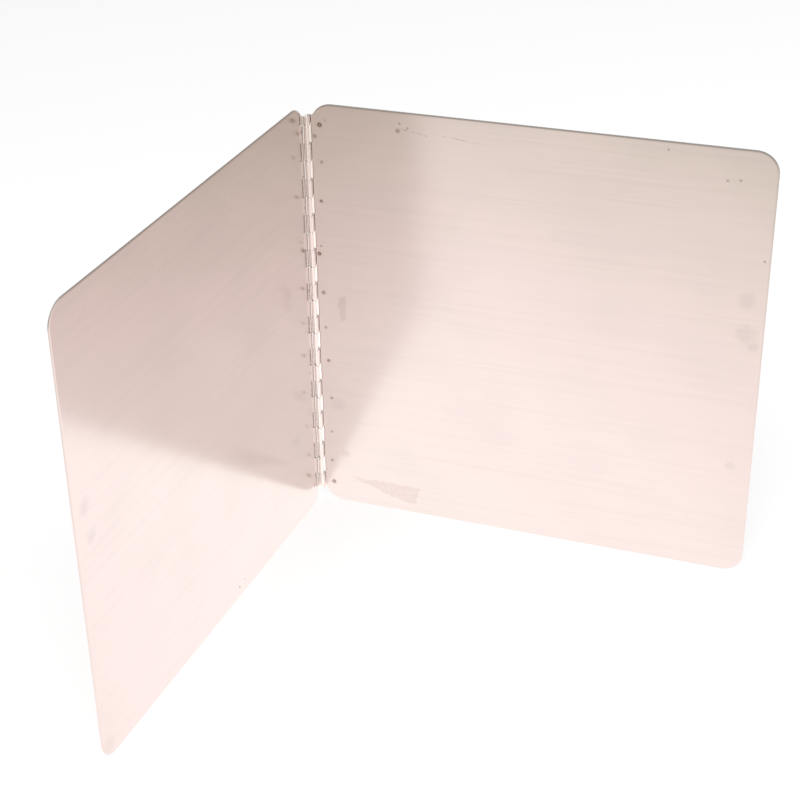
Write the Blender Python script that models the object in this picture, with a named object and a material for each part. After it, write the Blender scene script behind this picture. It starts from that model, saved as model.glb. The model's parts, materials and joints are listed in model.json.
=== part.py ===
"""Folding splatter screen: two flat steel plates joined along one edge by a piano hinge.

The screen stands on the lower edges of its plates, opened to a corner, and folds flat.
+Z is up and the open side of the corner faces -Y. The origin is the middle of the
footprint, on the surface that the screen stands on. Sizes are in metres.

Each panel is drawn in its own frame, whose origin is on the hinge axis: X runs away from
the axis along the plate, Y runs from the plate's front face to its back, and Z is up.
"""
import math

import bmesh
import bpy
from mathutils import Matrix, Vector

# Plates
PLATE_WIDTH = 0.296
PLATE_HEIGHT = 0.303
PLATE_THICKNESS = 0.0008
PLATE_CORNER_RADIUS = 0.0143
CORNER_STEPS = 12

# Fold between the two front faces, as the screen stands
FOLD_ANGLE = math.radians(94.3)

# Piano hinge
PIN_RADIUS = 0.00125
PIN_CLEARANCE = 0.0001
PIN_RECESS = 0.0005
PIN_SIDES = 24
LEAF_THICKNESS = 0.0008
LEAF_LAP = 0.0168
HINGE_END_MARGIN = 0.0086
KNUCKLE_LENGTH = 0.0127
KNUCKLE_CLEARANCE = 0.0003
SHORTEST_KNUCKLE = 0.003
NOTCH_REACH = 0.00285
NECK_INNER_RADIUS = 0.0003
NECK_STEPS = 5
ROLL_END_ANGLE = math.radians(32)
ROLL_STEPS = 20

# Where the plates lie: their front faces behind the hinge axis, their inner edges beside
# the barrel, and the leaves behind them
PLATE_SETBACK = 0.00175
EDGE_CLEARANCE = 0.0001
SHEET_CLEARANCE = 0.0001

# Spot welds, set by hand: the steps between them from bottom to top, in millimetres as
# measured and stretched to fit between the end margins, and how far across the leaf's
# lap each of them lies, in hundredths
WELD_RADIUS = 0.0015
WELD_CLEARANCE = 0.0001
WELD_DIMPLE = 0.0001
WELD_SIDES = 16
WELD_STEPS = {
    "right": (18, 24, 28, 30, 26, 27, 29, 39, 28, 26),
    "left": (33, 29, 29, 32, 30, 30, 31, 22, 31),
}
WELD_BOTTOM_MARGIN = {"right": 0.006, "left": 0.0072}
WELD_TOP_MARGIN = {"right": 0.006, "left": 0.0097}
WELD_ACROSS = {
    "right": (37, 32, 35, 41, 34, 28, 24, 13, 30, 38, 35),
    "left": (41, 32, 31, 31, 24, 13, 13, 15, 18, 13),
}

# Finish: colour and roughness of each metal
PLATE_FINISH = ((0.78, 0.74, 0.72, 1.0), 0.28)
LEAF_FINISH = ((0.80, 0.77, 0.75, 1.0), 0.32)
PIN_FINISH = ((0.80, 0.77, 0.75, 1.0), 0.2)
WELD_FINISH = ((0.42, 0.36, 0.33, 1.0), 0.45)
SMOOTH_ANGLE = math.radians(35)

# Sizes that follow from the ones above
BORE_RADIUS = PIN_RADIUS + PIN_CLEARANCE
BARREL_RADIUS = BORE_RADIUS + LEAF_THICKNESS
PLATE_EDGE = BARREL_RADIUS + EDGE_CLEARANCE
PLATE_BACK = PLATE_SETBACK + PLATE_THICKNESS
LEAF_FRONT = PLATE_BACK + SHEET_CLEARANCE
LEAF_BACK = LEAF_FRONT + LEAF_THICKNESS
LEAF_EDGE = PLATE_EDGE + LEAF_LAP
NOTCH_EDGE = PLATE_EDGE - NOTCH_REACH
HINGE_BOTTOM = HINGE_END_MARGIN
HINGE_TOP = PLATE_HEIGHT - HINGE_END_MARGIN
PANEL_TURN = (math.pi - FOLD_ANGLE) / 2


def clear_scene():
    """Remove every object, so that the script starts from nothing."""
    for thing in list(bpy.data.objects):
        bpy.data.objects.remove(thing)


def make_material(name, finish):
    """Bare metal of one colour and roughness."""
    colour, roughness = finish
    material = bpy.data.materials.new(name)
    material.use_nodes = True
    shader = material.node_tree.nodes["Principled BSDF"]
    shader.inputs["Base Color"].default_value = colour
    shader.inputs["Metallic"].default_value = 1.0
    shader.inputs["Roughness"].default_value = roughness
    return material


def make_object(name, mesh, material, parent):
    """Put a mesh in the scene under its panel's frame."""
    thing = bpy.data.objects.new(name, mesh)
    bpy.context.collection.objects.link(thing)
    if not mesh.materials:
        mesh.materials.append(material)
    thing.parent = parent
    return thing


def mesh_from(name, bm):
    """Turn a bmesh into a mesh with its faces pointing out, smooth where it is round."""
    bmesh.ops.recalc_face_normals(bm, faces=bm.faces)
    mesh = bpy.data.meshes.new(name)
    bm.to_mesh(mesh)
    bm.free()
    mesh.shade_smooth()
    mesh.set_sharp_from_angle(angle=SMOOTH_ANGLE)
    return mesh


def mirror_for(side, bm):
    """The left panel is the right one seen in a mirror."""
    if side == "left":
        bmesh.ops.scale(bm, vec=(1, -1, 1), verts=bm.verts)


def hinge_position():
    """Where the hinge axis stands, so that the footprint is centred on the origin.

    The front-most points are the outer ends of the plates, and the rear-most one is on
    the barrel, on the bend where a knuckle leaves its leaf, or on the corner of a notch."""
    outer_edge = PLATE_EDGE + PLATE_WIDTH
    front = PLATE_SETBACK * math.cos(PANEL_TURN) - outer_edge * math.sin(PANEL_TURN)
    bend_radius = NECK_INNER_RADIUS + LEAF_THICKNESS
    bend_centre = LEAF_BACK - bend_radius
    bend = bend_centre * math.cos(PANEL_TURN) - PLATE_EDGE * math.sin(PANEL_TURN) + bend_radius
    notch = LEAF_BACK * math.cos(PANEL_TURN) - NOTCH_EDGE * math.sin(PANEL_TURN)
    rear = max(BARREL_RADIUS, bend, notch)
    return Vector((0, -(front + rear) / 2, 0))


def make_frames():
    """An empty on the hinge axis, with one for each panel turned about it."""
    hinge_axis = bpy.data.objects.new("hinge_axis", None)
    bpy.context.collection.objects.link(hinge_axis)
    hinge_axis.location = hinge_position()
    turns = {"right": -PANEL_TURN, "left": PANEL_TURN - math.pi}
    frames = {}
    for side, turn in turns.items():
        frame = bpy.data.objects.new(side + "_panel_frame", None)
        bpy.context.collection.objects.link(frame)
        frame.parent = hinge_axis
        frame.rotation_euler.z = turn
        frames[side] = frame
    return hinge_axis, frames


def plate_outline():
    """Corners of the plate seen from the front, with a quarter circle at each."""
    radius = PLATE_CORNER_RADIUS
    left, right = PLATE_EDGE + radius, PLATE_EDGE + PLATE_WIDTH - radius
    low, high = radius, PLATE_HEIGHT - radius
    centres = ((right, low, -90), (right, high, 0), (left, high, 90), (left, low, 180))
    points = []
    for x, z, start in centres:
        for step in range(CORNER_STEPS + 1):
            angle = math.radians(start + 90 * step / CORNER_STEPS)
            points.append((x + radius * math.cos(angle), z + radius * math.sin(angle)))
    return points


def make_plate(side, material, frame, holes):
    """A flat sheet with rounded corners, pierced where it is welded to its leaf."""
    bm = bmesh.new()
    rim = [bm.verts.new((x, PLATE_SETBACK, z)) for x, z in plate_outline()]
    front = bm.faces.new(rim)
    grown = bmesh.ops.extrude_face_region(bm, geom=[front])
    back = [item for item in grown["geom"] if isinstance(item, bmesh.types.BMVert)]
    bmesh.ops.translate(bm, vec=(0, PLATE_THICKNESS, 0), verts=back)
    mirror_for(side, bm)
    name = side + "_plate"
    pierce(make_object(name, mesh_from(name, bm), material, frame), holes)


def pierce(thing, holes):
    """Cut the weld holes out of a sheet."""
    cut = thing.modifiers.new("weld_holes", "BOOLEAN")
    cut.operation = "DIFFERENCE"
    cut.solver = "EXACT"
    cut.object = holes


def knuckle_spans(side):
    """Lower and upper end of each of one leaf's knuckles.

    They alternate from the bottom up, starting with the left leaf, and what is left over
    at the top is a short knuckle."""
    length = HINGE_TOP - HINGE_BOTTOM
    full = int(length / KNUCKLE_LENGTH)
    joints = [HINGE_BOTTOM + index * KNUCKLE_LENGTH for index in range(full + 1)]
    if HINGE_TOP - joints[-1] > SHORTEST_KNUCKLE:
        joints.append(HINGE_TOP)
    else:
        joints[-1] = HINGE_TOP
    first = 0 if side == "left" else 1
    spans = []
    for index in range(first, len(joints) - 1, 2):
        low, high = joints[index], joints[index + 1]
        if index > 0:
            low += KNUCKLE_CLEARANCE / 2
        if index < len(joints) - 2:
            high -= KNUCKLE_CLEARANCE / 2
        spans.append((low, high))
    return spans


def extrude_and_move(bm, face, matrix):
    """Grow the sheet by one step: extrude its end face and move the new end.

    The edges are passed too, so that no face is left inside the sheet."""
    grown = bmesh.ops.extrude_face_region(bm, geom=[face, *face.edges])["geom"]
    ends = [item for item in grown if isinstance(item, bmesh.types.BMVert)]
    bmesh.ops.transform(bm, matrix=matrix, verts=ends)
    return next(item for item in grown if isinstance(item, bmesh.types.BMFace))


def turn_about(centre, angle):
    """Rotation about an upright line through a point of the cross-section."""
    place = Matrix.Translation((centre[0], centre[1], 0))
    return place @ Matrix.Rotation(angle, 4, "Z") @ place.inverted()


def neck_path():
    """How the sheet runs from the flat leaf to the barrel.

    It bends forward round a small circle behind the plate's edge, runs straight past that
    edge and bends on, the same way, round the back of the barrel. The straight run touches
    both circles on one side. Returned are the centre of the small circle, the bend's
    angle and the vector of the straight run, all on the middle of the sheet."""
    bend_radius = NECK_INNER_RADIUS + LEAF_THICKNESS / 2
    barrel_middle = BORE_RADIUS + LEAF_THICKNESS / 2
    centre = Vector((PLATE_EDGE, LEAF_FRONT - NECK_INNER_RADIUS))
    difference = barrel_middle - bend_radius
    straight = math.sqrt(centre.length_squared - difference ** 2)
    heading = math.atan2(-centre.y, -centre.x) - math.asin(difference / centre.length)
    heading %= 2 * math.pi
    run = Vector((math.cos(heading), math.sin(heading))) * straight
    return centre, heading - math.pi, run


def roll_knuckle(bm, face):
    """Bend, run and roll one tab of the leaf round the pin.

    The roll goes behind the pin, up the far side and over the front, and ends in front of
    its own side, so that a slot is left open there between its end and the neck."""
    centre, bend, run = neck_path()
    for _ in range(NECK_STEPS):
        face = extrude_and_move(bm, face, turn_about(centre, bend / NECK_STEPS))
    face = extrude_and_move(bm, face, Matrix.Translation((run.x, run.y, 0)))
    roll = 3 * math.pi / 2 - bend - ROLL_END_ANGLE
    for _ in range(ROLL_STEPS):
        face = extrude_and_move(bm, face, turn_about((0, 0), roll / ROLL_STEPS))


def inner_faces(bm, spans):
    """The faces on the strip's inner edge that lie between each pair of heights."""
    found = []
    for low, high in spans:
        middle = Vector((PLATE_EDGE, (LEAF_FRONT + LEAF_BACK) / 2, (low + high) / 2))
        found.append(min(bm.faces, key=lambda item: (item.calc_center_median() - middle).length))
    return found


def make_leaf(side, material, frame, holes):
    """A strip behind the plate, with every other knuckle rolled from its inner edge.

    Beside the other leaf's knuckles it ends in the straight edge of a notch."""
    spans = knuckle_spans(side)
    notches = knuckle_spans("left" if side == "right" else "right")
    levels = sorted({HINGE_BOTTOM, HINGE_TOP, *(level for span in spans + notches for level in span)})
    bm = bmesh.new()
    near_side = [(PLATE_EDGE, LEAF_FRONT), (LEAF_EDGE, LEAF_FRONT)]
    far_side = [(LEAF_EDGE, LEAF_BACK), (PLATE_EDGE, LEAF_BACK)]
    face = bm.faces.new([bm.verts.new((x, y, HINGE_BOTTOM)) for x, y in near_side + far_side])
    for low, high in zip(levels, levels[1:]):
        face = extrude_and_move(bm, face, Matrix.Translation((0, 0, high - low)))
    tabs, ledges = (inner_faces(bm, heights) for heights in (spans, notches))
    for tab in tabs:
        roll_knuckle(bm, tab)
    for ledge in ledges:
        extrude_and_move(bm, ledge, Matrix.Translation((NOTCH_EDGE - PLATE_EDGE, 0, 0)))
    mirror_for(side, bm)
    name = side + "_hinge_leaf"
    pierce(make_object(name, mesh_from(name, bm), material, frame), holes)


def make_pin(material, hinge_axis):
    """The wire that the knuckles turn on, held in the left leaf's end knuckles."""
    bm = bmesh.new()
    length = HINGE_TOP - HINGE_BOTTOM - 2 * PIN_RECESS
    bmesh.ops.create_cone(
        bm, cap_ends=True, segments=PIN_SIDES, radius1=PIN_RADIUS, radius2=PIN_RADIUS, depth=length
    )
    pin = make_object("hinge_pin", mesh_from("hinge_pin", bm), material, hinge_axis)
    pin.location.z = (HINGE_BOTTOM + HINGE_TOP) / 2


def weld_places(side):
    """Distance from the hinge axis and height of each weld, from the bottom up."""
    steps = WELD_STEPS[side]
    low = HINGE_BOTTOM + WELD_BOTTOM_MARGIN[side]
    high = HINGE_TOP - WELD_TOP_MARGIN[side]
    places = []
    for count, across in enumerate(WELD_ACROSS[side]):
        share = sum(steps[:count]) / sum(steps)
        places.append((PLATE_EDGE + LEAF_LAP * across / 100, low + (high - low) * share))
    return places


def add_disc(bm, radius, front, back, x, z):
    """A round plug that runs from front to back through the sheets."""
    length = back - front
    place = Matrix.Translation((x, front + length / 2, z)) @ Matrix.Rotation(math.pi / 2, 4, "X")
    bmesh.ops.create_cone(
        bm, cap_ends=True, segments=WELD_SIDES, radius1=radius, radius2=radius, depth=length, matrix=place
    )


def make_weld_holes(side, material, frame):
    """The cutter for the holes that the welds fill in one panel's plate and leaf."""
    bm = bmesh.new()
    front, back = PLATE_SETBACK - PLATE_THICKNESS, LEAF_BACK + LEAF_THICKNESS
    for x, z in weld_places(side):
        add_disc(bm, WELD_RADIUS + WELD_CLEARANCE, front, back, x, z)
    mirror_for(side, bm)
    name = side + "_weld_holes"
    holes = make_object(name, mesh_from(name, bm), material, frame)
    holes.hide_render = True
    holes.display_type = "WIRE"
    return holes


def make_welds(side, material, frame):
    """The nuggets of fused metal, each a shallow dimple short of the sheets' faces."""
    front, back = PLATE_SETBACK + WELD_DIMPLE, LEAF_BACK - WELD_DIMPLE
    bm = bmesh.new()
    add_disc(bm, WELD_RADIUS, front, back, 0, 0)
    mirror_for(side, bm)
    mesh = mesh_from(side + "_spot_weld", bm)
    for number, (x, z) in enumerate(weld_places(side), start=1):
        weld = make_object(f"spot_weld_{side}_{number:02d}", mesh, material, frame)
        weld.location = (x, 0, z)


def main():
    clear_scene()
    plate_steel = make_material("plate_steel", PLATE_FINISH)
    leaf_steel = make_material("leaf_steel", LEAF_FINISH)
    pin_steel = make_material("pin_steel", PIN_FINISH)
    weld_metal = make_material("weld_metal", WELD_FINISH)
    hinge_axis, frames = make_frames()
    for side, frame in frames.items():
        holes = make_weld_holes(side, weld_metal, frame)
        make_plate(side, plate_steel, frame, holes)
        make_leaf(side, leaf_steel, frame, holes)
        make_welds(side, weld_metal, frame)
    make_pin(pin_steel, hinge_axis)


main()
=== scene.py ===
"""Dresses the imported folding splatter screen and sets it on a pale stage.

Every piece is a surface worked out with numpy in its panel's own frame, whose origin is on
the hinge axis: s runs along the plate away from the axis, b from the plate's front face to
its back, and z is up. Sizes are in metres.
"""
import json
import math

import bmesh
import bpy
import numpy as np
from bpy.props import FloatProperty, FloatVectorProperty, IntProperty, PointerProperty
from mathutils import Matrix, Vector


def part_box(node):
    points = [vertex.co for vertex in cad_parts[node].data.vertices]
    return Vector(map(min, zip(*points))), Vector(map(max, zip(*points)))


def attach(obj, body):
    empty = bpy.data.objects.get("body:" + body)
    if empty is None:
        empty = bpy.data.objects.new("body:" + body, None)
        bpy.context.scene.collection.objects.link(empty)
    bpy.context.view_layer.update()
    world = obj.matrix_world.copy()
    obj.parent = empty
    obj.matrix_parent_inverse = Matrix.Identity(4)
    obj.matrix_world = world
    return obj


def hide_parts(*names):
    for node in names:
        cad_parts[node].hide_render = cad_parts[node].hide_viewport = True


bl_info = {
    "name": "Folding Splatter Screen",
    "version": (1, 0, 0),
    "blender": (4, 5, 0),
    "location": "View3D > Sidebar > Splatter Screen",
    "description": "Dresses the steel plates, piano hinge and spot welds, and sets the stage",
    "category": "Object",
}

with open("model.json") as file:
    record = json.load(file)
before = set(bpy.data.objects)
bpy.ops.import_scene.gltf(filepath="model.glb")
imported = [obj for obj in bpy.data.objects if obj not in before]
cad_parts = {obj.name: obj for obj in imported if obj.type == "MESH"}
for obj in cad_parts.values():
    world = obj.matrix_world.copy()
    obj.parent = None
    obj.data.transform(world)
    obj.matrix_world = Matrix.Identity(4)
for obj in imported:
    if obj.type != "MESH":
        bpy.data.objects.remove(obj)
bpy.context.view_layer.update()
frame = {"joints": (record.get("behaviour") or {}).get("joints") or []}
HINGE = np.array([*frame["joints"][0]["pos_m"][:2], 0.0])
PLATE_HEIGHT = float(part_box("right_plate")[1][2])
HINGE_SPAN = [float(corner[2]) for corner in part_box("left_hinge_leaf")]
PIN_SPAN = [float(corner[2]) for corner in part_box("hinge_pin")]
SIDES = ("right", "left")

# Marks on the front faces, in millimetres from the hinge axis and the lower edge:
# scratches from end to end, specks and smudges with their radius, and outlines of residue
SCRATCHES = {
    "right": (
        ((7.4, 234.5), (11.8, 233.6)),
        ((63.0, 291.8), (83.0, 288.2)),
        ((86.0, 290.3), (118.0, 287.4)),
    ),
    "left": (((9.0, 242.0), (14.0, 240.5)), ((262.0, 287.0), (272.0, 283.0))),
}
SPECKS = {
    "right": (
        ((62.2, 295.2), 0.8), ((67.5, 292.5), 0.8), ((61.0, 290.2), 1.8), ((4.5, 280.2), 1.7),
        ((5.9, 201.6), 0.9), ((268.4, 281.7), 0.9), ((276.0, 282.7), 0.9), ((232.1, 297.4), 0.8),
        ((294.4, 231.5), 0.9), ((12.0, 292.0), 0.7),
    ),
    "left": (((125.7, 7.8), 1.0), ((118.0, 9.0), 0.8), ((2.8, 12.2), 0.8), ((6.9, 23.3), 0.7)),
}
SMUDGES = {
    "right": (
        ((286, 203), 7), ((287, 180), 8), ((292, 172), 5),
        ((14, 80), 6), ((18.2, 40), 4), ((285, 82), 4),
    ),
    "left": (((287, 176), 6), ((283, 154), 5), ((292, 9), 8)),
}
RESIDUE = {
    "right": (
        ((16.4, 164.0), (22.5, 166.1), (21.3, 148.4), (18.6, 147.3), (15.9, 158.2)),
        ((22.6, 21.1), (72.8, 21.9), (70.4, 7.7), (62.2, 6.9)),
    ),
    "left": (),
}

# How each spot weld's mark looks, from the lowest up: its size and how scorched it is
WELD_LOOKS = {
    "right": (
        (1.0, 0.75), (0.65, 0.65), (0.55, 0.6), (0.65, 0.6), (0.7, 0.8), (0.6, 0.55),
        (0.85, 0.65), (0.9, 0.95), (0.7, 0.85), (0.7, 0.5), (1.0, 0.95),
    ),
    "left": (
        (0.75, 0.5), (0.5, 0.4), (0.45, 0.25), (0.5, 0.35), (0.6, 0.45),
        (0.55, 0.4), (0.5, 0.25), (0.6, 0.4), (0.6, 0.4), (0.8, 0.5),
    ),
}

# A weld mark from its middle out: share of its radius, and height as a share of its ring's
WELD_PROFILE = ((0.04, -0.3), (0.35, 0.0), (0.55, 0.35), (0.72, 0.85), (0.82, 1.0), (0.92, 0.75), (1.0, 0.1))
WELD_STEPS = 28
WELD_BURN = (
    (0.0, (0.40, 0.33, 0.29)),
    (0.35, (0.26, 0.17, 0.13)),
    (0.7, (0.17, 0.10, 0.07)),
    (1.0, (0.46, 0.38, 0.34)),
)

# Shapes of edges: the flat inner part of a plate's faces and the line that keeps the roll's
# start flat, the thinning of a strip's cut end, the line that keeps its long faces flat, and
# the share of the pin's radius that is rounded at its ends
FLAT_INSET = 0.6
ROLL_START = 1.6
CUT_TAPER = (0.98, 0.86, 0.55)
SOFT_START = 1.6
PIN_END_ROUND = 0.35

# What is left of the sheet's colour under each kind of mark
SHEET_SHADES = {
    "clouds": (0.94, 0.95, 0.95),
    "streaks": (0.95, 0.95, 0.96),
    "grain": (0.94, 0.94, 0.94),
    "heat": (0.80, 0.70, 0.62),
    "smudge": (0.82, 0.82, 0.82),
    "scratch": (0.60, 0.54, 0.50),
    "speck": (0.50, 0.43, 0.39),
    "residue": (0.91, 0.875, 0.885),
}

# Painted highlight: the inside of the strip's bend is coloured near-white in place of the light it would
# reflect. Its colour, and where it begins behind the hinge axis and ends beside it, in millimetres
BEND_PAINTED_HIGHLIGHT = (0.98, 0.95, 0.94)
PAINTED_HIGHLIGHT_BEHIND = (0.9, 1.5)
PAINTED_HIGHLIGHT_BESIDE = (2.4, 2.1)


class PlateSettings(bpy.types.PropertyGroup):
    fold: FloatProperty(
        name="Fold",
        description="Angle between the plates' front faces",
        default=math.radians(94.3),
        subtype="ANGLE",
    )
    width: FloatProperty(name="Width", description="Width of each plate", default=0.296, unit="LENGTH")
    edge: FloatProperty(
        name="Inner Edge",
        description="From the hinge axis to a plate's inner edge",
        default=0.00225,
        unit="LENGTH",
    )
    front: FloatProperty(
        name="Front Face",
        description="From the hinge axis back to the front faces",
        default=0.00175,
        unit="LENGTH",
    )
    thickness: FloatProperty(
        name="Thickness",
        description="Thickness of the sheet",
        default=0.0008,
        unit="LENGTH",
    )
    corner: FloatProperty(
        name="Corner Radius",
        description="Radius of the corners",
        default=0.0143,
        unit="LENGTH",
    )
    roll_width: FloatProperty(
        name="Edge Roll Width",
        description="Width that shearing rolled over at the edge",
        default=0.0013,
        unit="LENGTH",
    )
    roll_depth: FloatProperty(
        name="Edge Roll Depth",
        description="How far the sheared edge rolls back",
        default=0.00024,
        unit="LENGTH",
    )
    inner_roll: FloatProperty(
        name="Inner Edge Roll",
        description="Share of the roll beside the hinge",
        default=0.05,
    )
    burr: FloatProperty(
        name="Back Edge Round",
        description="Rounding of the edge's back corner",
        default=0.0001,
        unit="LENGTH",
    )
    colour: FloatVectorProperty(
        name="Colour",
        description="Colour of the rolled sheet",
        default=(0.764, 0.713, 0.693),
        subtype="COLOR",
    )
    arc_steps: IntProperty(name="Arc Steps", description="Steps round each corner", default=24)


class HingeSettings(bpy.types.PropertyGroup):
    lap: FloatProperty(
        name="Lap",
        description="Width of each leaf behind its plate",
        default=0.0168,
        unit="LENGTH",
    )
    gap: FloatProperty(
        name="Sheet Gap",
        description="Between a plate and its leaf",
        default=0.0001,
        unit="LENGTH",
    )
    thickness: FloatProperty(
        name="Leaf Thickness",
        description="Thickness of the leaf",
        default=0.0008,
        unit="LENGTH",
    )
    notch: FloatProperty(
        name="Notch Reach",
        description="How far a notch's edge passes the plate's",
        default=0.00285,
        unit="LENGTH",
    )
    bend: FloatProperty(
        name="Bend",
        description="Inner radius of the bend by the plate's edge",
        default=0.0003,
        unit="LENGTH",
    )
    bore: FloatProperty(
        name="Bore",
        description="Radius inside the knuckles",
        default=0.00135,
        unit="LENGTH",
    )
    seam: FloatProperty(
        name="Seam",
        description="Where the roll ends before its own side",
        default=math.radians(32),
        subtype="ANGLE",
    )
    knuckle: FloatProperty(
        name="Knuckle",
        description="Length of a knuckle and its gap",
        default=0.0127,
        unit="LENGTH",
    )
    clearance: FloatProperty(
        name="Clearance",
        description="Between two knuckles",
        default=0.0003,
        unit="LENGTH",
    )
    softness: FloatProperty(
        name="Edge Softness", description="Rounding of the cut edges", default=0.00012, unit="LENGTH"
    )
    pin: FloatProperty(name="Pin", description="Radius of the pin", default=0.00125, unit="LENGTH")
    colour: FloatVectorProperty(
        name="Colour",
        description="Colour of the hinge strip",
        default=(0.86, 0.80, 0.78),
        subtype="COLOR",
    )


class WeldSettings(bpy.types.PropertyGroup):
    radius: FloatProperty(
        name="Radius",
        description="Radius of the largest weld mark",
        default=0.0015,
        unit="LENGTH",
    )
    ring: FloatProperty(
        name="Ring Height",
        description="Height of the ring round a mark",
        default=0.00003,
        unit="LENGTH",
    )
    halo: FloatProperty(name="Halo", description="Reach of the heat tint in radii", default=2.2)


class StageSettings(bpy.types.PropertyGroup):
    floor: FloatProperty(
        name="Floor",
        description="Half the width of the floor",
        default=4.0,
        unit="LENGTH",
    )
    glow: FloatProperty(
        name="Floor Glow",
        description="Light that the floor shows of its own",
        default=0.45,
    )
    camera: FloatVectorProperty(
        name="Camera",
        description="Where the camera stands",
        default=(-0.3661, -0.8739, 0.7095),
    )
    focal: FloatProperty(
        name="Focal Length",
        description="Focal length in pixels of the 800 wide frame",
        default=1736.7,
    )


def settings():
    """The sizes and colours that the panel shows."""
    scene = bpy.context.scene
    return scene.splatter_plate, scene.splatter_hinge, scene.splatter_weld, scene.splatter_stage


def panel_axes(side):
    """Unit vectors of a panel's frame: s away from the hinge axis, and b from front to back."""
    plate = settings()[0]
    turn = (math.pi - plate.fold) / 2
    across = 1 if side == "right" else -1
    along = np.array((across * math.cos(turn), -math.sin(turn), 0.0))
    back = np.array((across * math.sin(turn), math.cos(turn), 0.0))
    return along, back


def to_screen(side, s, b, z):
    """Point = hinge axis + s times the along vector + b times the back vector + z upwards."""
    along, back = panel_axes(side)
    s, b, z = (np.asarray(value, float)[..., None] for value in np.broadcast_arrays(s, b, z))
    return HINGE + s * along + b * back + z * np.array((0.0, 0.0, 1.0))


def grid_faces(rows, columns, first=0):
    """Quads between neighbouring rows of a grid whose last column joins its first."""
    row, column = np.meshgrid(np.arange(rows - 1), np.arange(columns), indexing="ij")
    beside = (column + 1) % columns
    here, above = row * columns, (row + 1) * columns
    corners = (here + column, here + beside, above + beside, above + column)
    return first + np.stack(corners, axis=-1).reshape(-1, 4)


def tube_faces(rows, columns, first=0):
    """The quads of a closed tube and the two many-sided faces that cap it."""
    start = list(range(first, first + columns))
    end = list(range(first + (rows - 1) * columns, first + rows * columns))
    return grid_faces(rows, columns, first).tolist() + [start[::-1], end]


def add_piece(name, points, faces, body, replaced, material, smooth=30):
    """Make a mesh of points and faces into a finished piece that stands for a CAD node."""
    mesh = bpy.data.meshes.new(name)
    mesh.from_pydata(points.reshape(-1, 3).tolist(), [], faces)
    shell = bmesh.new()
    shell.from_mesh(mesh)
    bmesh.ops.recalc_face_normals(shell, faces=shell.faces)
    shell.to_mesh(mesh)
    shell.free()
    mesh.shade_smooth()
    mesh.set_sharp_from_angle(angle=math.radians(smooth))
    mesh.materials.append(material)
    piece = bpy.data.objects.new(name, mesh)
    bpy.context.scene.collection.objects.link(piece)
    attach(piece, body)
    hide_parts(replaced)
    return piece


def plate_surface(side):
    """A sheet's edge profile carried round its outline, a rectangle with round corners.

    A point is corner centre + (corner radius - inset) times its outward direction. Over the
    roll width the front face falls back by depth times the square of the way to the rim. The
    roll shrinks with the square of how far the rim faces the hinge."""
    plate = settings()[0]
    steps = plate.arc_steps + 1
    angles = (np.radians((-90, 0, 90, 180))[:, None] + np.linspace(0, math.pi / 2, steps)).ravel()
    low_s, high_s = plate.edge + plate.corner, plate.edge + plate.width - plate.corner
    low_z, high_z = plate.corner, PLATE_HEIGHT - plate.corner
    centre_s = np.repeat((high_s, high_s, low_s, low_s), steps)
    centre_z = np.repeat((low_z, high_z, high_z, low_z), steps)
    towards_hinge = np.maximum(0, -np.cos(angles)) ** 2
    roll = 1 - (1 - plate.inner_roll) * towards_hinge
    way = np.linspace(0, 1, 7)[:, None]
    flat = np.full_like(roll[None], plate.corner * FLAT_INSET)
    inset = [flat, ROLL_START * plate.roll_width * roll[None]]
    inset.append(plate.roll_width * roll * (1 - way))
    depth = [np.zeros((2, len(angles))), plate.roll_depth * roll * way ** 2]
    turn = np.radians((0, 30, 60, 90))[:, None] + 0 * roll
    inset += [plate.burr * (1 - np.cos(turn)), flat]
    depth += [plate.thickness - plate.burr * (1 - np.sin(turn)), np.full_like(roll[None], plate.thickness)]
    inset, depth = np.concatenate(inset), np.concatenate(depth)
    s = centre_s + (plate.corner - inset) * np.cos(angles)
    z = centre_z + (plate.corner - inset) * np.sin(angles)
    points = to_screen(side, s, plate.front + depth, z)
    return points, tube_faces(len(inset), len(angles))


def leaf_middle():
    """How far behind the hinge axis the middle of the flat strip lies."""
    plate, hinge, _, _ = settings()
    return plate.front + plate.thickness + hinge.gap + hinge.thickness / 2


def sheet_path():
    """Middle of the hinge strip in cross-section, from the plate's edge round the pin.

    It bends forward round a small circle, runs straight along the tangent that the small
    circle shares with the barrel's, and follows that one behind the pin, up the far side
    and over the front to the seam. Each point has the unit vector square to the path."""
    plate, hinge, _, _ = settings()
    half = hinge.thickness / 2
    bend, barrel = hinge.bend + half, hinge.bore + half
    centre = np.array((plate.edge, leaf_middle() - bend))
    heading = math.atan2(-centre[1], -centre[0]) - math.asin((barrel - bend) / math.hypot(*centre))
    turned = heading % (2 * math.pi) - math.pi
    small = math.pi / 2 + np.linspace(0, turned, 9)
    large = np.linspace(math.pi / 2 + turned, 2 * math.pi - hinge.seam, 57)
    out = np.stack((np.cos(np.append(small, large)), np.sin(np.append(small, large))), axis=-1)
    middle = np.concatenate((centre + bend * out[: len(small)], barrel * out[len(small) :]))
    return middle, out


def section_outline(middle, out, half):
    """Both faces of the strip, half its thickness to each side of the path, as one loop.

    The half thickness tapers over the last points so that the cut end is rounded."""
    taper = np.ones(len(middle))
    taper[-len(CUT_TAPER) :] = CUT_TAPER
    offset = out * (half * taper)[:, None]
    return np.concatenate((middle + offset, (middle - offset)[::-1]))


def soft_levels(low, high, softness):
    """Heights from one cut end to the other, and how much thinner the strip is at each.

    Near an end the height grows as 1 - cosine and the thinning falls as 1 - sine. One more
    level beyond keeps the long faces flat."""
    angle = np.radians((0, 30, 60, 90))
    rise = softness * np.append(1 - np.cos(angle), SOFT_START)
    shrink = softness * np.append(1 - np.sin(angle), 0.0)
    return np.concatenate((low + rise, (high - rise)[::-1])), np.concatenate((shrink, shrink[::-1]))


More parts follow.
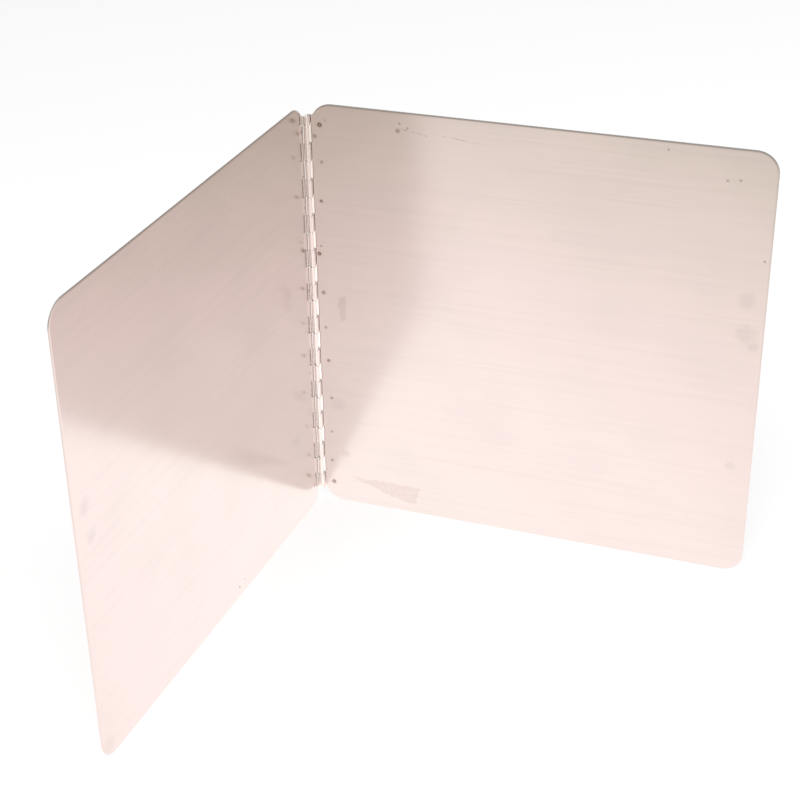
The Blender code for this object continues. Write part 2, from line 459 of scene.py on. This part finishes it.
def knuckle_spans(side):
    """Lower and upper end of each knuckle of one leaf, from the bottom up."""
    hinge = settings()[1]
    low, high = HINGE_SPAN
    joints = np.append(np.arange(low, high - 1e-5, hinge.knuckle), high)
    starts, ends = joints[:-1] + hinge.clearance / 2, joints[1:] - hinge.clearance / 2
    starts[0], ends[-1] = low, high
    first = 0 if side == "left" else 1
    return list(zip(starts[first::2], ends[first::2]))


def flat_path(start, end):
    """Middle of a flat length of the strip between two distances from the axis."""
    away = np.linspace(start, end, 5)
    middle = np.stack((away, np.full(len(away), leaf_middle())), axis=-1)
    return middle, np.broadcast_to((0.0, 1.0), middle.shape)


def leaf_surface(side):
    """The flat strip behind the plate, with knuckles and notches along its inner edge.

    Each is a cross-section carried straight up, a little thinner at its cut ends."""
    plate, hinge, _, _ = settings()
    half = hinge.thickness / 2
    other = SIDES[1 - SIDES.index(side)]
    notch = flat_path(plate.edge, plate.edge - hinge.notch)
    shells = [(*flat_path(plate.edge, plate.edge + hinge.lap), *HINGE_SPAN)]
    shells += [(*sheet_path(), low, high) for low, high in knuckle_spans(side)]
    shells += [(*notch, low, high) for low, high in knuckle_spans(other)]
    points, faces, count = [], [], 0
    for path, normal, low, high in shells:
        levels, shrink = soft_levels(low, high, hinge.softness)
        loops = np.stack([section_outline(path, normal, half - thinner) for thinner in shrink])
        points.append(to_screen(side, loops[..., 0], loops[..., 1], levels[:, None]).reshape(-1, 3))
        faces += tube_faces(len(levels), loops.shape[1], count)
        count += len(points[-1])
    return np.concatenate(points), faces


def lathe(side, centre, radii, depths, steps):
    """A profile turned about a line through the sheets: each radius at its depth b."""
    angles = np.linspace(0, 2 * math.pi, steps, endpoint=False)
    radii, depths = np.asarray(radii)[:, None], np.asarray(depths)[:, None]
    s, z = centre[0] + radii * np.cos(angles), centre[1] + radii * np.sin(angles)
    return to_screen(side, s, np.broadcast_to(depths, s.shape), z)


def pin_surface(steps=32):
    """The pin: its radius against its height, with the ends rounded by a quarter circle."""
    hinge = settings()[1]
    round_end = hinge.pin * PIN_END_ROUND
    angle = np.radians(np.linspace(0, 90, 6))
    inner = hinge.pin - round_end
    radii = np.concatenate(([inner * 0.5], inner + round_end * np.sin(angle), [hinge.pin]))
    rise = np.concatenate(([0.0], round_end * (1 - np.cos(angle)), [hinge.pin]))
    radii = np.append(radii, radii[::-1])
    heights = np.append(PIN_SPAN[0] + rise, PIN_SPAN[1] - rise[::-1])
    around = np.linspace(0, 2 * math.pi, steps, endpoint=False)
    x, y = radii[:, None] * np.cos(around), radii[:, None] * np.sin(around)
    points = HINGE + np.stack((x, y, np.broadcast_to(heights[:, None], x.shape)), axis=-1)
    return points, tube_faces(len(heights), steps)


def weld_place(side, number):
    """Where a spot weld is in its panel's frame: s and z of the middle of its CAD node."""
    low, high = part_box(f"spot_weld_{side}_{number:02d}")
    middle = (np.array(low) + np.array(high)) / 2
    return float((middle - HINGE) @ panel_axes(side)[0]), float(middle[2])


def weld_surface(side, number):
    """A spot weld: a shallow dish in a raised ring on each face, turned about its middle."""
    plate, hinge, weld, _ = settings()
    front = plate.front
    back = leaf_middle() + hinge.thickness / 2
    radius = weld.radius * WELD_LOOKS[side][number - 1][0]
    profile = np.array(WELD_PROFILE)
    share = np.concatenate((profile[:, 0], (1.0, 1.0), profile[::-1, 0]))
    heights = profile[:, 1] * weld.ring
    inside = (front + plate.thickness * 0.3, back - hinge.thickness * 0.3)
    depths = np.concatenate((front - heights, inside, back + heights[::-1]))
    points = lathe(side, weld_place(side, number), share * radius, depths, WELD_STEPS)
    return points, tube_faces(len(share), WELD_STEPS), np.repeat(share, WELD_STEPS)


class Wire:
    """A shader socket to reckon with: an expression on wires adds its Math nodes."""

    def __init__(self, tree, socket=None):
        self.tree = tree
        self.socket = socket

    def node(self, kind, values=(), output=0, **chosen):
        """Add any node: its settings are set first, then its sockets get values or wires."""
        made = self.tree.nodes.new(kind)
        stops = chosen.pop("stops", None)
        for setting, choice in chosen.items():
            setattr(made, setting, choice)
        if stops:
            ramp = made.color_ramp
            while len(ramp.elements) < len(stops):
                ramp.elements.new(1.0)
            for element, (position, colour) in zip(ramp.elements, stops):
                element.position = position
                element.color = (*colour, 1.0)
        pairs = values.items() if isinstance(values, dict) else enumerate(values)
        for key, value in pairs:
            if isinstance(value, Wire):
                self.tree.links.new(value.socket, made.inputs[key])
            elif value is not None:
                made.inputs[key].default_value = value
        return Wire(self.tree, made.outputs[output])

    def math(self, operation, *values):
        return self.node("ShaderNodeMath", values, operation=operation)

    def __add__(self, other):
        return self.math("ADD", self, other)

    def __sub__(self, other):
        return self.math("SUBTRACT", self, other)

    def __rsub__(self, other):
        return self.math("SUBTRACT", other, self)

    def __mul__(self, other):
        return self.math("MULTIPLY", self, other)

    def __truediv__(self, other):
        return self.math("DIVIDE", self, other)

    __radd__ = __add__
    __rmul__ = __mul__

    def dot(self, vector):
        return self.node("ShaderNodeVectorMath", (self, vector), output="Value", operation="DOT_PRODUCT")

    def distance(self, point):
        return self.node("ShaderNodeVectorMath", (self, point), output="Value", operation="DISTANCE")

    def step(self, low, high):
        """0 below low, 1 above high and smooth between, or falling where low is the larger."""
        start, end = (0.0, 1.0) if low < high else (1.0, 0.0)
        values = {"Value": self, "From Min": min(low, high), "From Max": max(low, high)}
        values |= {"To Min": start, "To Max": end}
        return self.node("ShaderNodeMapRange", values, interpolation_type="SMOOTHSTEP")

    def stretched(self, scale, shift=0.0):
        """This vector with each part multiplied by its own scale."""
        return self.node("ShaderNodeMapping", {"Vector": self, "Location": (shift,) * 3, "Scale": scale})

    def noise(self, scale, detail=2.0, roughness=0.5):
        """Cloudy noise from 0 to 1 at this vector."""
        values = {"Vector": self, "Scale": scale, "Detail": detail, "Roughness": roughness}
        return self.node("ShaderNodeTexNoise", values)

    def between(self, first, second):
        """The first colour where this factor is 0, the second where it is 1."""
        first, second = (colour if isinstance(colour, Wire) else (*colour, 1.0) for colour in (first, second))
        return self.node("ShaderNodeMix", {0: self, 6: first, 7: second}, output=2, data_type="RGBA")

    def shade(self, factor, share):
        """This colour multiplied by a grey share where the factor is 1."""
        values = {0: factor, 6: self, 7: (*share, 1.0)}
        return self.node("ShaderNodeMix", values, output=2, data_type="RGBA", blend_type="MULTIPLY")


def metal(name):
    """A new metal, its shader, and a wire to start expressions from."""
    material = bpy.data.materials.new(name)
    material.use_nodes = True
    shader = material.node_tree.nodes["Principled BSDF"]
    shader.inputs["Metallic"].default_value = 1.0
    return material, shader, Wire(material.node_tree)


def connect(wire, shader, socket):
    wire.tree.links.new(wire.socket, shader.inputs[socket])


def raise_bumps(height, shader, distance, strength=1.0):
    """Feed a height to the shader's normal."""
    values = {"Height": height, "Distance": distance, "Strength": strength}
    normal = height.node("ShaderNodeBump", values, output="Normal")
    connect(normal, shader, "Normal")


def panel_place(start, side):
    """Where a point is on its panel in millimetres, as the vector (s, z, b)."""
    along, back = panel_axes(side)
    point = start.node("ShaderNodeTexCoord", output="Object")
    away = point.node("ShaderNodeVectorMath", (point, tuple(HINGE)), operation="SUBTRACT")
    away = away.node("ShaderNodeVectorMath", {0: away, "Scale": 1000.0}, operation="SCALE")
    up = (0.0, 0.0, 1.0)
    return away.node("ShaderNodeCombineXYZ", (away.dot(tuple(along)), away.dot(up), away.dot(tuple(back))))


def front_only(place):
    """The place on the front face with 1 for its third part, and 1 where the front is."""
    plate = settings()[0]
    parts = [place.node("ShaderNodeSeparateXYZ", (place,), output=index) for index in range(3)]
    middle = (plate.front + plate.thickness / 2) * 1000
    flat = place.node("ShaderNodeCombineXYZ", (parts[0], parts[1], 1.0))
    return flat, parts[2].step(middle + 0.1, middle - 0.1)


def scratch_mask(flat, start, end, width):
    """1 on a straight scratch: near its line, and no further along it than its ends."""
    start, end = np.array(start), np.array(end)
    length = float(np.hypot(*(end - start)))
    run = (end - start) / length
    across = flat.dot((-run[1], run[0], float(run[1] * start[0] - run[0] * start[1])))
    way = flat.dot((run[0], run[1], float(-run @ (start + end) / 2)))
    near = across.math("ABSOLUTE", across).step(width, width * 0.3)
    return near * way.math("ABSOLUTE", way).step(length * 0.55, length * 0.42)


def spot_mask(flat, middle, size, outer, inner):
    """1 at a spot's middle, falling to 0 between the inner and outer share of its size."""
    return flat.distance((*middle, 1.0)).step(size * outer, size * inner)


def polygon_mask(flat, corners, softness):
    """1 inside a convex outline: the least of the distances inward from its sides."""
    corners = np.array(corners)
    middle = corners.mean(axis=0)
    least = None
    for start, end in zip(corners, np.roll(corners, -1, axis=0)):
        inward = np.array((start[1] - end[1], end[0] - start[0])) / np.hypot(*(end - start))
        if inward @ (middle - start) < 0:
            inward = -inward
        side = flat.dot((inward[0], inward[1], float(-inward @ start)))
        least = side if least is None else side.math("MINIMUM", side, least)
    return least.step(-softness, softness)


def total(masks):
    """The largest of several masks."""
    result = masks[0]
    for mask in masks[1:]:
        result = result.math("MAXIMUM", result, mask)
    return result


def heat_tint(flat, side):
    """1 at a weld, falling to 0 at its halo's edge, for the nearest of a panel's welds."""
    weld = settings()[2]
    glow = []
    for number, (size, scorch) in enumerate(WELD_LOOKS[side], start=1):
        s, z = weld_place(side, number)
        reach = weld.radius * size * weld.halo * 1000
        glow.append(flat.distance((s * 1000, z * 1000, 1.0)).step(reach, reach * 0.4) * scorch)
    return total(glow)


def scaled(colour, share):
    """A colour multiplied by a share of its own for each part."""
    return tuple(part * factor for part, factor in zip(colour, share))


def shifted(place, scale, reach):
    """A place moved about in the sheet by cloudy noise, so that marks get uneven outlines."""
    cloud = place.node("ShaderNodeTexNoise", {"Vector": place, "Scale": scale, "Detail": 3.0}, output="Color")
    values = (cloud, (reach, reach, 0.0), (-reach / 2, -reach / 2, 0.0))
    moved = place.node("ShaderNodeVectorMath", values, operation="MULTIPLY_ADD")
    return place.node("ShaderNodeVectorMath", (place, moved), operation="ADD")


def sheet_metal(side):
    """Cold-rolled sheet: a fine level grain, faint clouds, handling marks and weld tint."""
    plate = settings()[0]
    material, shader, start = metal(f"{side}_sheet_steel")
    place = panel_place(start, side)
    flat, front = front_only(place)
    uneven = shifted(flat, 0.25, 5.0)
    ragged = shifted(flat, 1.4, 0.9)
    grain = place.stretched((0.02, 3.2, 1.0)).noise(1.0, 4.0, 0.6)
    streaks = place.stretched((0.006, 0.35, 0.35)).noise(1.0, 3.0)
    clouds = place.noise(0.018, 3.0)
    speckle = place.noise(0.8, 2.0).step(0.42, 0.62)
    scratches = total([scratch_mask(ragged, *ends, 0.4) for ends in SCRATCHES[side]]) * speckle
    specks = total([spot_mask(ragged, spot, size, 1.3, 0.4) for spot, size in SPECKS[side]])
    smudges = total([spot_mask(uneven, spot, size, 1.2, 0.3) for spot, size in SMUDGES[side]])
    shades = SHEET_SHADES
    clouded = scaled(plate.colour, shades["clouds"])
    colour = (clouds.step(0.35, 0.75) * 0.5).between(plate.colour, clouded)
    colour = colour.shade(streaks.step(0.4, 0.8) * 0.5, shades["streaks"])
    colour = colour.shade(grain.step(0.35, 0.75) * 0.4, shades["grain"])
    colour = colour.shade(heat_tint(ragged, side) * 0.5, shades["heat"])
    colour = colour.shade(smudges * front * 0.3, shades["smudge"])
    colour = colour.shade(scratches * front * 0.7, shades["scratch"])
    colour = colour.shade(specks * front * 0.7, shades["speck"])
    residue = [polygon_mask(uneven, corners, 0.9) for corners in RESIDUE[side]]
    if residue:
        mask = total(residue) * front * (0.6 + speckle * 0.4)
        colour = colour.shade(mask, shades["residue"])
        smudges = total([smudges, mask])
    connect(colour, shader, "Base Color")
    rough = 0.13 + grain * 0.05 + clouds * 0.03 + smudges * front * 0.06
    connect(rough, shader, "Roughness")
    height = grain * 0.5 + clouds * 12.0 - scratches * front * 2.0
    raise_bumps(height, shader, 0.000004)
    return material


def strip_metal(side):
    """The rolled hinge strip: an upright draw grain, tinted by the welds, with a painted highlight in the
    bend.
    """
    hinge = settings()[1]
    material, shader, start = metal(f"{side}_strip_steel")
    place = panel_place(start, side)
    parts = [place.node("ShaderNodeSeparateXYZ", (place,), output=index) for index in range(3)]
    flat = place.node("ShaderNodeCombineXYZ", (parts[0], parts[1], 1.0))
    # Painted highlight: near-white colour behind the axis beside the plate's edge, standing in for reflected
    # light
    bright = parts[2].step(*PAINTED_HIGHLIGHT_BEHIND) * parts[0].step(*PAINTED_HIGHLIGHT_BESIDE)
    grain = place.stretched((6.0, 0.05, 6.0)).noise(1.0, 3.0)
    clouds = place.noise(0.09, 3.0)
    clouded = scaled(hinge.colour, (0.93, 0.92, 0.91))
    colour = (clouds.step(0.35, 0.75) * 0.6).between(hinge.colour, clouded)
    colour = colour.shade(grain.step(0.35, 0.75) * 0.6, (0.94, 0.94, 0.94))
    colour = colour.shade(heat_tint(flat, side) * 0.6, (0.80, 0.68, 0.58))
    connect(bright.between(colour, BEND_PAINTED_HIGHLIGHT), shader, "Base Color")
    connect(0.09 + grain * 0.05 + clouds * 0.03, shader, "Roughness")
    raise_bumps(grain + clouds * 4.0, shader, 0.000004)
    return material


def wire_metal():
    """The pin: bright drawn wire with fine lines along it and faint wear."""
    material, shader, start = metal("pin_wire_steel")
    point = start.node("ShaderNodeTexCoord", output="Object")
    lines = point.stretched((5000.0, 5000.0, 30.0)).noise(1.0, 2.0)
    wear = point.noise(220.0, 3.0)
    colour = (lines.step(0.35, 0.7) * 0.7).between((0.95, 0.92, 0.90), (0.90, 0.87, 0.85))
    colour = colour.shade(wear.step(0.4, 0.7) * 0.3, (0.90, 0.88, 0.86))
    connect(colour, shader, "Base Color")
    connect(0.06 + lines * 0.06, shader, "Roughness")
    raise_bumps(lines, shader, 0.000001)
    return material


def nugget_metal():
    """A spot weld: a dull middle in a scorched ring, as strong as its own scorch share."""
    plate = settings()[0]
    material, shader, start = metal("weld_nugget")
    share = start.node("ShaderNodeAttribute", output="Fac", attribute_name="from_middle")
    scorch = start.node("ShaderNodeAttribute", output="Fac", attribute_name="scorch")
    spots = start.node("ShaderNodeTexCoord", output="Object").noise(2600.0, 3.0)
    burnt = share.node("ShaderNodeValToRGB", (share + (spots - 0.5) * 0.35,), stops=WELD_BURN)
    connect(scorch.between(plate.colour, burnt), shader, "Base Color")
    connect(0.2 + scorch * 0.2 + spots * 0.15, shader, "Roughness")
    raise_bumps(spots, shader, 0.00002)
    return material


class PlatesOperator(bpy.types.Operator):
    """Make the two plates."""

    bl_idname = "splatter.plates"
    bl_label = "Plates"

    def execute(self, context):
        for side in SIDES:
            points, faces = plate_surface(side)
            name, node = f"{side}_plate_sheet", f"{side}_plate"
            add_piece(name, points, faces, f"{side}_panel", node, sheet_metal(side))
        return {"FINISHED"}


class LeavesOperator(bpy.types.Operator):
    """Make the hinge's two leaves with their knuckles."""

    bl_idname = "splatter.leaves"
    bl_label = "Hinge Leaves"

    def execute(self, context):
        for side in SIDES:
            points, faces = leaf_surface(side)
            name, node = f"{side}_leaf_strip", f"{side}_hinge_leaf"
            add_piece(name, points, faces, f"{side}_panel", node, strip_metal(side))
        return {"FINISHED"}


class PinOperator(bpy.types.Operator):
    """Make the hinge pin."""

    bl_idname = "splatter.pin"
    bl_label = "Hinge Pin"

    def execute(self, context):
        points, faces = pin_surface()
        add_piece("hinge_pin_wire", points, faces, "left_panel", "hinge_pin", wire_metal())
        return {"FINISHED"}


class WeldsOperator(bpy.types.Operator):
    """Make the spot welds."""

    bl_idname = "splatter.welds"
    bl_label = "Spot Welds"

    def execute(self, context):
        material = nugget_metal()
        for side in SIDES:
            for number, (_, scorch) in enumerate(WELD_LOOKS[side], start=1):
                points, faces, share = weld_surface(side, number)
                node = f"spot_weld_{side}_{number:02d}"
                name = f"weld_mark_{side}_{number:02d}"
                piece = add_piece(name, points, faces, f"{side}_panel", node, material, 60)
                for label, values in (("from_middle", share), ("scorch", np.full(len(share), scorch))):
                    spread = piece.data.attributes.new(label, "FLOAT", "POINT")
                    spread.data.foreach_set("value", values.astype(np.float32))
        return {"FINISHED"}


class StageOperator(bpy.types.Operator):
    """Set the floor, the surroundings, the lamps and the camera."""

    bl_idname = "splatter.stage"
    bl_label = "Stage"

    def execute(self, context):
        lay_floor()
        light_surroundings()
        hang_lamps()
        set_camera()
        context.scene.view_settings.view_transform = "Standard"
        return {"FINISHED"}


# How bright the floor looks in the metal, set by comparing renders with the photograph,
# against the distance in metres from a place near the hinge. The left and right part of the
# distance is reckoned at 0.6 of its length
FLOOR_PLACE = (0.05, 0.05)
FLOOR_SQUEEZE = 0.6
FLOOR_GREY = (0.8, 0.8, 0.8, 1.0)
FLOOR_TONES = (
    (0.0, (1.37, 1.265, 1.23)),
    (0.175, (1.34, 1.21, 1.19)),
    (0.275, (1.275, 1.13, 1.10)),
    (0.377, (1.175, 1.05, 1.01)),
    (0.431, (1.10, 0.99, 0.945)),
    (0.51, (1.055, 0.955, 0.89)),
    (0.612, (0.955, 0.87, 0.80)),
    (0.8, (0.77, 0.69, 0.625)),
    (1.5, (0.55, 0.505, 0.46)),
)

WHITE = (1.0, 1.0, 1.0, 1.0)

# How bright the surroundings look in the metal, from level to straight up, and their grey
# for every other light
ROOM_TONES = (
    (0.0, (0.42, 0.40, 0.38)),
    (0.15, (0.40, 0.38, 0.36)),
    (0.6, (0.80, 0.79, 0.78)),
    (1.0, (0.95, 0.95, 0.95)),
)
ROOM_GREY = (0.5, 0.5, 0.5)

# Each lamp's name, place, width and power, and the point that both light
LAMPS = (("key", (-0.9, -1.0, 1.7), 1.6, 14.0), ("fill", (1.4, -0.7, 1.5), 1.6, 7.0))
LAMP_AIM = (0.0, 0.0, 0.1)

# The camera's right and forward directions in the right panel's frame, and where its axis
# meets the frame
CAMERA_RIGHT = (0.93955, 0.3412, -0.02867)
CAMERA_FORWARD = (-0.31165, 0.81747, -0.48437)
CAMERA_SHIFT = (0.0598, -0.0828)


def lay_floor():
    """A flat square floor, white to the camera but for the shadow that the screen throws.

    The metal sees a brightness of its own instead, which falls off with distance."""
    stage = settings()[3]
    reach = stage.floor
    mesh = bpy.data.meshes.new("floor")
    corners = [(-reach, -reach, 0), (reach, -reach, 0), (reach, reach, 0), (-reach, reach, 0)]
    mesh.from_pydata(corners, [], [(0, 1, 2, 3)])
    material = bpy.data.materials.new("floor_paper")
    material.use_nodes = True
    tree = material.node_tree
    tree.nodes.clear()
    start = Wire(tree)
    camera_ray = start.node("ShaderNodeLightPath", output="Is Camera Ray")
    glossy_ray = start.node("ShaderNodeLightPath", output="Is Glossy Ray")
    clear_ray = start.node("ShaderNodeLightPath", output="Is Transmission Ray")
    point = start.node("ShaderNodeTexCoord", output="Object")
    across, along = FLOOR_PLACE
    values = {"Vector": point, "Location": (-across * FLOOR_SQUEEZE, -along, 0.0)}
    values |= {"Scale": (FLOOR_SQUEEZE, 1.0, 1.0)}
    distance = point.node("ShaderNodeMapping", values).distance((0.0, 0.0, 0.0))
    furthest, brightest = FLOOR_TONES[-1][0], FLOOR_TONES[0][1][0]
    stops = [(way / furthest, tuple(part / brightest for part in tone)) for way, tone in FLOOR_TONES]
    shown = distance.node("ShaderNodeValToRGB", (distance / furthest,), stops=stops)
    diffuse = start.node("ShaderNodeBsdfDiffuse", {"Color": FLOOR_GREY})
    glow = start.node("ShaderNodeEmission", {"Color": WHITE, "Strength": camera_ray * stage.glow})
    lit = start.node("ShaderNodeAddShader", (diffuse, glow))
    seen = start.node("ShaderNodeEmission", {"Color": shown, "Strength": brightest})
    mirrored = start.math("MAXIMUM", glossy_ray, clear_ray)
    mixed = start.node("ShaderNodeMixShader", (mirrored, lit, seen))
    output = tree.nodes.new("ShaderNodeOutputMaterial")
    tree.links.new(mixed.socket, output.inputs["Surface"])
    mesh.materials.append(material)
    floor = bpy.data.objects.new("floor", mesh)
    bpy.context.scene.collection.objects.link(floor)


def light_surroundings():
    """White to the camera, a soft studio in reflections, and plain grey light elsewhere."""
    world = bpy.data.worlds.new("studio")
    bpy.context.scene.world = world
    world.use_nodes = True
    tree = world.node_tree
    tree.nodes.clear()
    start = Wire(tree)
    camera_ray = start.node("ShaderNodeLightPath", output="Is Camera Ray")
    glossy_ray = start.node("ShaderNodeLightPath", output="Is Glossy Ray")
    up = start.node("ShaderNodeTexCoord", output="Generated").dot((0.0, 0.0, 1.0))
    room = start.node("ShaderNodeValToRGB", (up,), stops=ROOM_TONES)
    colour = camera_ray.between(glossy_ray.between(ROOM_GREY, room), WHITE[:3])
    background = start.node("ShaderNodeBackground", {"Color": colour, "Strength": 1.0})
    output = tree.nodes.new("ShaderNodeOutputWorld")
    tree.links.new(background.socket, output.inputs["Surface"])


def hang_lamps():
    """Two large soft lamps, the key over the front left and the fill over the right."""
    for name, place, size, power in LAMPS:
        lamp = bpy.data.lights.new(name, "AREA")
        lamp.shape = "DISK"
        lamp.size = size
        lamp.energy = power
        holder = bpy.data.objects.new(name, lamp)
        bpy.context.scene.collection.objects.link(holder)
        holder.location = place
        holder.rotation_euler = (Vector(LAMP_AIM) - Vector(place)).to_track_quat("-Z", "Y").to_euler()


def set_camera():
    """The photograph's view: its place, its direction and where its axis meets the frame."""
    stage = settings()[3]
    turn = Matrix.Rotation(-(math.pi / 2 - settings()[0].fold / 2), 3, "Z")
    right = turn @ Vector(CAMERA_RIGHT)
    forward = turn @ Vector(CAMERA_FORWARD)
    up = right.cross(forward)
    camera = bpy.data.cameras.new("camera")
    camera.lens = camera.sensor_width * stage.focal / 800
    camera.shift_x, camera.shift_y = CAMERA_SHIFT
    holder = bpy.data.objects.new("camera", camera)
    bpy.context.scene.collection.objects.link(holder)
    turned = Matrix((right, up, -forward)).transposed().to_4x4()
    holder.matrix_world = Matrix.Translation(stage.camera) @ turned
    bpy.context.scene.camera = holder


class SplatterPanel(bpy.types.Panel):
    """The sizes and colours, and a button for each step."""

    bl_idname = "VIEW3D_PT_splatter"
    bl_label = "Splatter Screen"
    bl_space_type = "VIEW_3D"
    bl_region_type = "UI"
    bl_category = "Splatter Screen"

    def draw(self, context):
        for group in settings():
            for name in group.__annotations__:
                self.layout.prop(group, name)
        for step in STEPS:
            self.layout.operator(step.bl_idname)


GROUPS = {
    "splatter_plate": PlateSettings,
    "splatter_hinge": HingeSettings,
    "splatter_weld": WeldSettings,
    "splatter_stage": StageSettings,
}
STEPS = (PlatesOperator, LeavesOperator, PinOperator, WeldsOperator, StageOperator)


def register():
    for name, group in GROUPS.items():
        bpy.utils.register_class(group)
        setattr(bpy.types.Scene, name, PointerProperty(type=group))
    for step in (*STEPS, SplatterPanel):
        bpy.utils.register_class(step)


def unregister():
    for step in (SplatterPanel, *reversed(STEPS)):
        bpy.utils.unregister_class(step)
    for name, group in GROUPS.items():
        delattr(bpy.types.Scene, name)
        bpy.utils.unregister_class(group)


def main():
    register()
    bpy.ops.splatter.plates()
    bpy.ops.splatter.leaves()
    bpy.ops.splatter.pin()
    bpy.ops.splatter.welds()
    bpy.ops.splatter.stage()


if __name__ == "__main__":
    main()
